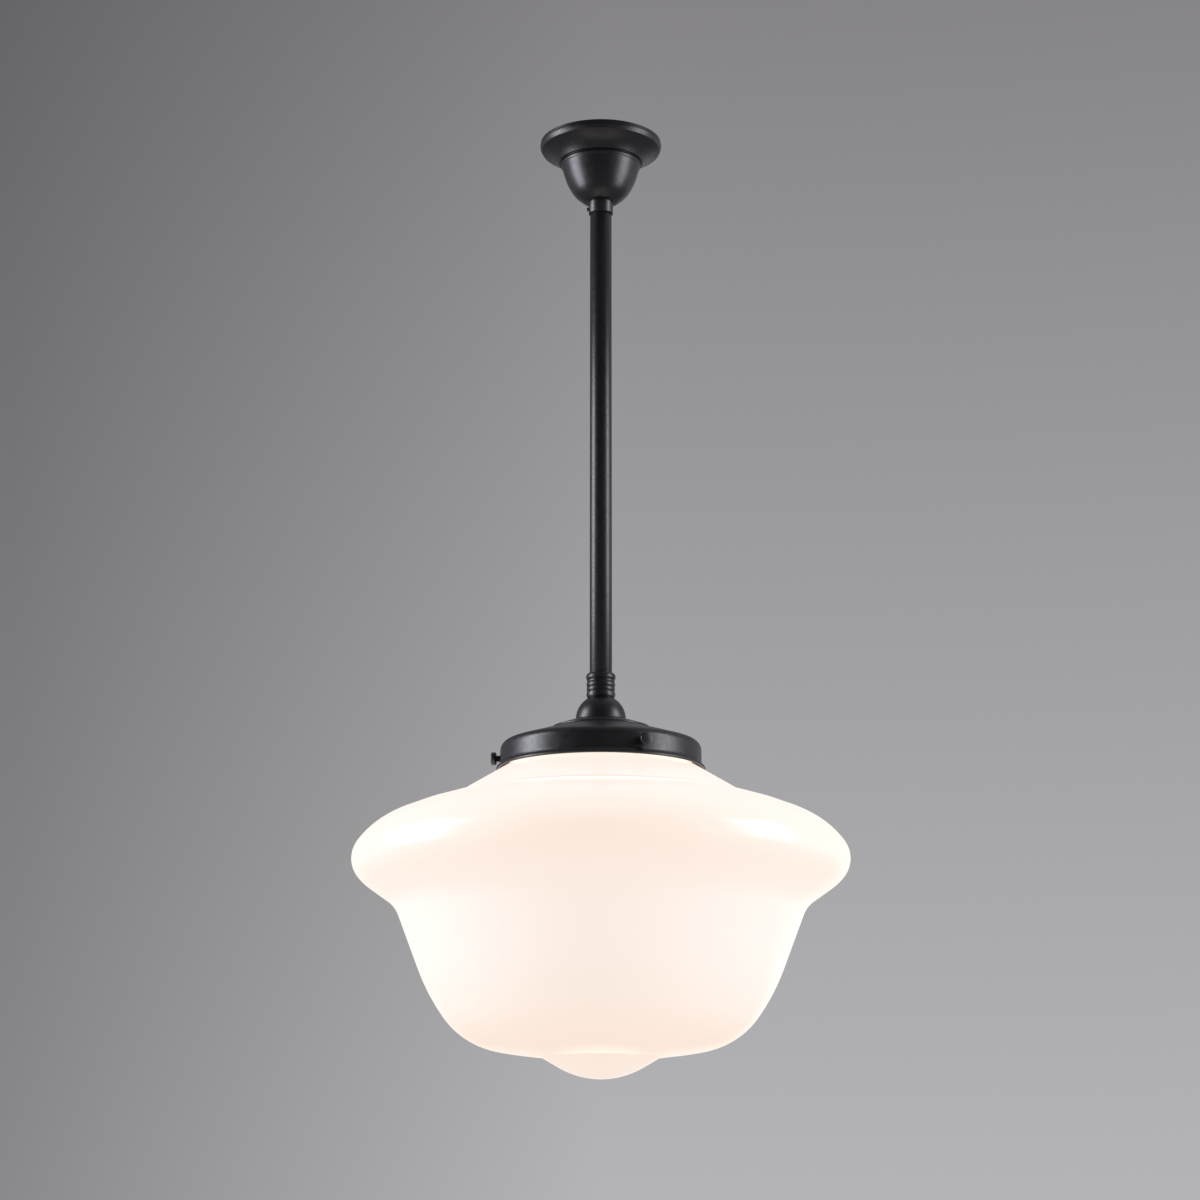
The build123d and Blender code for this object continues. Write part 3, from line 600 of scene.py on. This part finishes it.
class PENDANT_OT_glass_shade(Operator):
    """Blows the opal glass shade with its lipped neck, brim, bowl and button"""

    bl_idname = "pendant.glass_shade"
    bl_label = "Glass shade"

    def execute(self, context):
        sizes, _, _, studio = settings()
        quarter = math.pi / 2
        neck_start = (sizes.neck_radius, SHADE_HIGH.z - sizes.lip_height)
        bowl = [
            (sizes.neck_run, 0),
            (sizes.neck_bend, sizes.shoulder_slope - quarter),
            (sizes.shoulder_run, 0),
            (sizes.roll_radius, sizes.roll_turn),
            (sizes.crease_radius, -sizes.crease_turn),
            (sizes.brim_inner_radius, sizes.brim_inner_turn),
            (sizes.brim_top_radius, sizes.brim_top_turn),
            (sizes.brim_shoulder_radius, sizes.brim_shoulder_turn),
            (sizes.brim_nose_radius, sizes.brim_nose_turn),
            (sizes.brim_under_radius, sizes.brim_under_turn),
            (sizes.brim_under_run, 0),
            (sizes.throat_radius, -sizes.throat_turn),
            (sizes.body_run, 0),
            (sizes.belly_radius, sizes.belly_turn),
            (sizes.corner_radius, sizes.corner_turn),
            (sizes.base_radius, sizes.base_turn),
        ]
        crease, _ = trace_end(neck_start, quarter, bowl[:4])
        bowl_end, bowl_heading = trace_end(neck_start, quarter, bowl)
        base_slope = math.pi - bowl_heading
        base_sine, button_sine = math.sin(base_slope), math.sin(sizes.button_slope)
        button_reach = (
            sizes.cove_radius * (button_sine - base_sine)
            + sizes.button_side_run * math.cos(sizes.button_slope)
            + sizes.button_radius * button_sine
        )
        button = [
            ((bowl_end.x - button_reach) / math.cos(base_slope), 0),
            (sizes.cove_radius, base_slope - sizes.button_slope),
            (sizes.button_side_run, 0),
            (sizes.button_radius, sizes.button_slope),
        ]
        outer = trace(neck_start, quarter, bowl + button)
        inner = trace(neck_start, quarter, bowl + button, sizes.wall)
        outer[-1].x = inner[-1].x = 0.0
        straight = sizes.lip_height - 2 * sizes.lip_round
        overhang = sizes.lip_radius - sizes.neck_radius - sizes.lip_round
        lip_start = (inner[0].x, neck_start[1] + sizes.lip_height - sizes.lip_round)
        lip = trace(lip_start, -quarter, [
            (sizes.lip_round, quarter),
            (sizes.wall + overhang - sizes.lip_round, 0),
            (sizes.lip_round, quarter),
            (straight, 0),
            (sizes.lip_round, quarter),
        ])
        lip.append(Vector(neck_start))
        section = list(reversed(inner)) + lip + outer[1:]
        shade = lathe("shade_glass", [(section, False)], studio.facets)
        stand_in(shade, "shade", "root", opal_glass(crease.y))
        return {"FINISHED"}


class PENDANT_OT_gallery(Operator):
    """Spins the gallery with its raised disc, wall and rolled lip"""

    bl_idname = "pendant.gallery"
    bl_label = "Gallery"

    def execute(self, context):
        _, metal, _, studio = settings()
        quarter = math.pi / 2
        hole = nipple_hole()
        disc_sine, cone_sine = math.sin(metal.disc_slope), math.sin(metal.cone_slope)
        disc_bends = metal.pad_bend * disc_sine + metal.disc_bend * (1 - disc_sine)
        disc_reach = metal.disc_radius - metal.pad_radius - disc_bends
        cone_bends = (metal.shoulder_radius + metal.disc_bend) * (1 - cone_sine)
        cone_reach = metal.wall_radius - metal.disc_radius - cone_bends
        section = [
            (metal.pad_radius - hole, 0),
            (metal.pad_bend, metal.disc_slope),
            (disc_reach / math.cos(metal.disc_slope), 0),
            (metal.disc_bend, quarter - metal.disc_slope),
            (metal.disc_bend, metal.cone_slope - quarter),
            (cone_reach / math.cos(metal.cone_slope), 0),
            (metal.shoulder_radius, quarter - metal.cone_slope),
        ]
        lip = [(metal.flare_bend, -metal.flare_angle), (metal.flare_run, 0)]
        start = (hole, GALLERY_HIGH.z)
        lip_end, lip_heading = trace_end(start, 0.0, section + lip)
        edge_height = lip_end.y - math.cos(lip_heading) * metal.sheet / 2
        wall_run = edge_height - (GALLERY_LOW.z + metal.bead_section)
        section += [(wall_run, 0)] + lip
        outer = trace(start, 0.0, section)
        inner = trace(start, 0.0, section, metal.sheet)
        edge = (outer[-1] + inner[-1]) / 2
        sheet = (outer + list(reversed(inner)), True)
        bead = (ring_section(edge, metal.bead_section), True)
        gallery = lathe("gallery_shell", [sheet, bead], studio.facets)
        stand_in(gallery, "gallery", "root", satin_black())
        return {"FINISHED"}


class PENDANT_OT_thumb_screws(Operator):
    """Turns the three thumb screws, each with a slim rounded head"""

    bl_idname = "pendant.thumb_screws"
    bl_label = "Thumb screws"

    def execute(self, context):
        sizes, metal, _, _ = settings()
        profile = self.profile(sizes, metal)
        for joint in frame["joints"]:
            if not joint["name"].startswith("thumb_turn_"):
                continue
            name = "thumb_screw_" + joint["name"][-1]
            screw = self.turned_screw(name + "_turned", profile, joint)
            stand_in(screw, name, joint["child"], satin_black())
            wear(name.replace("thumb_screw", "screw_tip"), nylon())
        return {"FINISHED"}

    def profile(self, sizes, metal):
        """Distances along the screw and radii, from the soft tip to the middle of the head's face."""
        fine, edge = metal.fine_bend / 2, metal.head_round
        shank_start = sizes.neck_radius + metal.thread_gap + metal.tip_length
        head_start = metal.wall_radius + metal.screw_reach
        rim_start = Vector((head_start + edge, metal.head_radius))
        rim_end = Vector((head_start + metal.head_length - metal.head_dome - edge, metal.head_radius))
        face = Vector((rim_end.x + edge, metal.head_radius - edge))
        steps = 5
        points = [
            Vector((shank_start, 0.0)), Vector((shank_start, metal.shank_radius - fine)),
            Vector((shank_start + fine, metal.shank_radius)), Vector((head_start - fine, metal.shank_radius)),
            Vector((head_start, metal.shank_radius + fine)), Vector((head_start, metal.head_radius - edge)),
        ]
        for step in range(1, steps + 1):
            angle = math.pi / 2 * step / steps
            points.append(rim_start + Vector((-math.cos(angle), math.sin(angle) - 1)) * edge)
        for step in range(steps + 1):
            angle = math.pi / 2 * step / steps
            points.append(rim_end + Vector((math.sin(angle), math.cos(angle) - 1)) * edge)
        for step in range(1, steps + 1):
            inward = step / steps
            points.append(face + Vector((metal.head_dome * (1 - (1 - inward) ** 2), -face.y * inward)))
        return points

    def turned_screw(self, name, profile, joint):
        facets = 72
        out = Vector(joint["axis"])
        up = Vector((0, 0, 1))
        side = out.cross(up)
        foot = up * joint["pos_m"][2]
        places, rings = [], []
        for distance, radius in profile:
            first = len(places)
            if radius < ON_AXIS:
                places.append(foot + out * distance)
                rings.append([first] * facets)
                continue
            for k in range(facets):
                angle = math.tau * k / facets
                around = side * math.cos(angle) + up * math.sin(angle)
                places.append(foot + out * distance + around * radius)
            rings.append(list(range(first, first + facets)))
        faces = []
        for near, far in zip(rings, rings[1:]):
            for k in range(facets):
                after = (k + 1) % facets
                faces.append(list(dict.fromkeys([near[k], near[after], far[after], far[k]])))
        return shown_mesh(name, places, faces)


class PENDANT_OT_turned_fittings(Operator):
    """Turns the reeded coupling and the half ball under the rod"""

    bl_idname = "pendant.turned_fittings"
    bl_label = "Coupling and ball"

    def execute(self, context):
        _, metal, _, studio = settings()
        hole = nipple_hole()
        here = Vector((metal.reed_start, COUPLING_HIGH.z))
        outline = [Vector((metal.socket_radius, here.y)), here]
        reeds = (
            (metal.bead_height, metal.bead_bow), (metal.thin_height, metal.thin_bow),
            (metal.body_height, metal.body_bow), (metal.ring_height, metal.ring_bow),
        )
        for height, bow in reeds:
            there = Vector((metal.reed_waist, here.y - height))
            outline += bowed(here, there, bow)
            here = there
        outline += bowed(here, Vector((metal.reed_foot, COUPLING_LOW.z)), metal.foot_bow)
        outline.append(Vector((hole, COUPLING_LOW.z)))
        coupling = lathe("coupling_turned", [(outline, False)], studio.facets)
        stand_in(coupling, "coupling", "root", satin_black())
        radius = BALL_HIGH.x
        centre = Vector((0.0, BALL_LOW.z + metal.ball_skirt))
        crown = math.asin((BALL_HIGH.z - centre.y) / radius)
        skirt = -math.asin(metal.ball_skirt / radius)
        steps = round(math.degrees(crown - skirt) / ARC_STEP)
        skin = [Vector((hole, BALL_HIGH.z))]
        for step in range(steps + 1):
            skin.append(centre + heading(-(crown + (skirt - crown) * step / steps)) * radius)
        skin.append(Vector((radius - metal.sheet, BALL_LOW.z)))
        ball = lathe("ball_cover_spun", [(skin, False)], studio.facets)
        stand_in(ball, "ball_cover", "root", satin_black())
        return {"FINISHED"}


class PENDANT_OT_rod(Operator):
    """Draws the rod, with the small rounding at its ends"""

    bl_idname = "pendant.rod"
    bl_label = "Rod"

    def execute(self, context):
        _, metal, _, studio = settings()
        radius, bore = ROD_HIGH.x, BUSH_HIGH.x
        rounding = metal.fine_bend / 2
        outline = [
            Vector((bore, ROD_HIGH.z)), Vector((radius - rounding, ROD_HIGH.z)),
            Vector((radius, ROD_HIGH.z - rounding)), Vector((radius, ROD_LOW.z + rounding)),
            Vector((radius - rounding, ROD_LOW.z)), Vector((bore, ROD_LOW.z)),
        ]
        rod = lathe("rod_tube", [(outline, True)], studio.facets // 2)
        stand_in(rod, "rod", "root", satin_black())
        return {"FINISHED"}


class PENDANT_OT_ceiling_rose(Operator):
    """Spins the ceiling rose, turns its collar and finishes its grub screw"""

    bl_idname = "pendant.ceiling_rose"
    bl_label = "Ceiling rose"

    def execute(self, context):
        _, metal, _, studio = settings()
        quarter, half_turn = math.pi / 2, math.pi
        fine = metal.fine_bend
        step = [(fine / 2, -metal.rim_step), (metal.rim_step_run, 0), (fine / 2, metal.rim_step)]
        step_reach, _ = trace_end((0.0, 0.0), quarter, step)
        start = (ROSE_HIGH.x - step_reach.x, 0.0)
        rim = [(metal.rim_band, 0)] + step + [(metal.rim_ridge, 0), (metal.rim_roll_radius, metal.rim_roll)]
        rim_end, rim_heading = trace_end(start, quarter, rim)
        saucer_in = half_turn - metal.saucer_slope
        saucer_out = saucer_in - metal.saucer_turn
        slope = math.tan(metal.saucer_slope)
        drop = rim_end.y + metal.rim_height + (ROSE_HIGH.x - rim_end.x) * slope
        corner = saucer_in - rim_heading
        rim_run = drop / (math.sin(rim_heading) + math.cos(rim_heading) * slope) - fine * math.tan(corner / 2)
        saucer = rim + [
            (rim_run, 0),
            (fine, corner),
            (metal.saucer_radius, -metal.saucer_turn),
            (fine, half_turn - saucer_out),
        ]
        ledge, _ = trace_end(start, quarter, saucer)
        cup_turned = metal.side_heading + 2 * metal.cup_turn
        upper = saucer + [
            (ledge.x - metal.crease_radius, 0),
            (fine / 2, metal.bead_start - half_turn),
            (metal.bead_radius, metal.bead_end - metal.bead_start),
            (metal.cup_cove, metal.side_heading - metal.bead_end),
        ]
        lower = [
            (metal.side_radius, metal.cup_turn),
            (metal.turn_radius, metal.cup_turn),
            (metal.cone_run, 0),
            (metal.floor_radius, half_turn - cup_turned),
        ]
        short, _ = trace_end(start, quarter, upper + lower)
        section = upper + [((short.y - ROSE_LOW.z) / math.sin(metal.side_heading), 0)] + lower
        floor, _ = trace_end(start, quarter, section)
        section.append((floor.x - metal.collar_radius - metal.collar_gap, 0))
        outer = trace(start, quarter, section)
        inner = trace(start, quarter, section, metal.rose_sheet)
        rose = lathe("rose_spun", [(outer + list(reversed(inner)), True)], studio.facets)
        stand_in(rose, "ceiling_rose", "rose", satin_black())
        self.collar(metal, studio)
        return {"FINISHED"}

    def collar(self, metal, studio):
        bore, radius, chamfer = ROD_HIGH.x + metal.collar_gap, metal.collar_radius, metal.collar_chamfer
        flange_foot = COLLAR_HIGH.z - metal.collar_flange
        outline = [
            Vector((bore, COLLAR_HIGH.z)), Vector((COLLAR_HIGH.x, COLLAR_HIGH.z)),
            Vector((COLLAR_HIGH.x, flange_foot)), Vector((radius, flange_foot)),
            Vector((radius, COLLAR_LOW.z + chamfer)), Vector((radius - chamfer, COLLAR_LOW.z)),
            Vector((bore, COLLAR_LOW.z)),
        ]
        collar = lathe("rose_collar_turned", [(outline, True)], studio.facets)
        stand_in(collar, "rose_collar", "rose", satin_black())
        wear("collar_grub_screw", satin_black())


class PENDANT_OT_lampholder(Operator):
    """Finishes the lampholder under the gallery"""

    bl_idname = "pendant.lampholder"
    bl_label = "Lampholder"

    def execute(self, context):
        wear("lampholder_cap", black_plastic())
        wear("lampholder_body", black_plastic())
        wear("lampholder_insert", porcelain())
        wear("screw_shell", turned_brass())
        wear("centre_contact", turned_brass())
        return {"FINISHED"}


class PENDANT_OT_bulb(Operator):
    """Finishes the bulb"""

    bl_idname = "pendant.bulb"
    bl_label = "Bulb"

    def execute(self, context):
        wear("bulb_contact", zinc_steel())
        wear("bulb_insulator", black_plastic())
        wear("bulb_cap", bright_aluminium())
        wear("bulb_glass", frosted_glass())
        return {"FINISHED"}


class PENDANT_OT_hidden_fixings(Operator):
    """Finishes the strap, nipples, nuts, bushes, terminal block and leads"""

    bl_idname = "pendant.hidden_fixings"
    bl_label = "Strap, nipples and wiring"

    def execute(self, context):
        for node in ("mounting_strap", "hanger_nipple", "strap_nuts", "gallery_nipple", "gallery_washer",
                     "gallery_nut", "terminal_screws"):
            wear(node, zinc_steel())
        for node in ("earth_screw", "rod_top_bush", "rod_bottom_bush", "terminal_inserts"):
            wear(node, turned_brass())
        wear("terminal_block", white_plastic())
        wear("lead_live", brown_insulation())
        wear("lead_neutral", blue_insulation())
        return {"FINISHED"}


class PENDANT_OT_studio(Operator):
    """Sets the plain studio: pale floor, grey backdrop, two softboxes and the camera"""

    bl_idname = "pendant.studio"
    bl_label = "Studio"

    def execute(self, context):
        _, _, _, studio = settings()
        self.floor(studio)
        self.backdrop(studio)
        self.softbox("softbox_left", studio.left_azimuth, studio.left_power, studio.left_tint, studio)
        self.softbox("softbox_right", studio.right_azimuth, studio.right_power, studio.right_tint, studio)
        self.camera(studio)
        context.scene.view_settings.view_transform = "Standard"
        return {"FINISHED"}

    def floor(self, studio):
        reach, drop = studio.floor_reach, -studio.floor_drop
        places = [(-reach, -reach, drop), (reach, -reach, drop), (reach, reach, drop), (-reach, reach, drop)]
        floor = shown_mesh("studio_floor", places, [[0, 1, 2, 3]])
        pale = tuple(studio.floor_colour)
        shaded = tuple(part * MOTTLE_SHADE for part in pale)
        floor.data.materials.append(
            mottled_finish("plain_floor", pale, shaded, 0.85, grain=30.0, depth=0.0005)
        )

    def backdrop(self, studio):
        world = bpy.data.worlds.new("studio_grey")
        bpy.context.scene.world = world
        world.use_nodes = True
        tree = world.node_tree
        tree.nodes.clear()
        output = tree.nodes.new("ShaderNodeOutputWorld")
        background = tree.nodes.new("ShaderNodeBackground")
        coordinates = tree.nodes.new("ShaderNodeTexCoord")
        split = tree.nodes.new("ShaderNodeSeparateXYZ")
        tree.links.new(coordinates.outputs["Generated"], split.inputs["Vector"])
        rise = add_range(tree, split.outputs["Z"], 0.0, 1.0, *HORIZON_FADE)
        tree.links.new(add_mix(tree, rise, studio.lower_grey, studio.upper_grey), background.inputs["Color"])
        front = add_range(tree, split.outputs["Y"], studio.front_share, 1.0, *FRONT_FADE)
        left = add_range(tree, split.outputs["X"], studio.left_share, 1.0, *LEFT_FADE)
        overhead = add_range(tree, split.outputs["Z"], 1.0, studio.overhead, *OVERHEAD_FADE)
        level = add_math(tree, "MULTIPLY", add_math(tree, "MULTIPLY", front, left), overhead)
        tree.links.new(level, background.inputs["Strength"])
        tree.links.new(background.outputs["Background"], output.inputs["Surface"])

    def softbox(self, name, azimuth, power, tint, studio):
        lamp = bpy.data.lights.new(name, "AREA")
        lamp.shape = "RECTANGLE"
        lamp.size, lamp.size_y = studio.softbox_width, studio.softbox_height
        lamp.energy = power
        lamp.color = tint
        holder = bpy.data.objects.new(name, lamp)
        bpy.context.scene.collection.objects.link(holder)
        out = Vector((math.sin(azimuth), -math.cos(azimuth), 0.0))
        holder.location = out * studio.softbox_distance + Vector((0, 0, studio.softbox_rise))
        holder.rotation_euler = out.to_track_quat("Z", "Y").to_euler()

    def camera(self, studio):
        lens = bpy.data.cameras.new("photograph_view")
        lens.lens = studio.lens
        lens.sensor_width = studio.sensor
        lens.sensor_fit = "HORIZONTAL"
        holder = bpy.data.objects.new("photograph_view", lens)
        bpy.context.scene.collection.objects.link(holder)
        holder.location = (studio.camera_side, -studio.camera_distance, -studio.camera_drop)
        holder.rotation_euler = (math.pi / 2 + studio.camera_pitch, 0.0, 0.0)
        bpy.context.scene.camera = holder


class PENDANT_PT_panel(Panel):
    """Sizes, finishes and the steps that dress the light"""

    bl_idname = "PENDANT_PT_panel"
    bl_label = "Pendant light"
    bl_space_type = "VIEW_3D"
    bl_region_type = "UI"
    bl_category = "Pendant"

    def draw(self, context):
        layout = self.layout
        for step in STEPS:
            layout.operator(step.bl_idname)
        for group in settings():
            box = layout.box()
            for name in group.__annotations__:
                box.prop(group, name)


GROUPS = {
    "pendant_shade": PENDANT_PG_shade,
    "pendant_metal": PENDANT_PG_metal,
    "pendant_finish": PENDANT_PG_finish,
    "pendant_studio": PENDANT_PG_studio,
}
STEPS = (
    PENDANT_OT_studio,
    PENDANT_OT_glass_shade,
    PENDANT_OT_gallery,
    PENDANT_OT_thumb_screws,
    PENDANT_OT_turned_fittings,
    PENDANT_OT_rod,
    PENDANT_OT_ceiling_rose,
    PENDANT_OT_lampholder,
    PENDANT_OT_bulb,
    PENDANT_OT_hidden_fixings,
)


def register():
    for group in (*GROUPS.values(), *STEPS, PENDANT_PT_panel):
        bpy.utils.register_class(group)
    for name, group in GROUPS.items():
        setattr(bpy.types.Scene, name, PointerProperty(type=group))


def unregister():
    for name in GROUPS:
        delattr(bpy.types.Scene, name)
    for group in reversed((*GROUPS.values(), *STEPS, PENDANT_PT_panel)):
        bpy.utils.unregister_class(group)


def main():
    register()
    for step in STEPS:
        family, name = step.bl_idname.split(".")
        getattr(getattr(bpy.ops, family), name)()


if __name__ == "__main__":
    main()
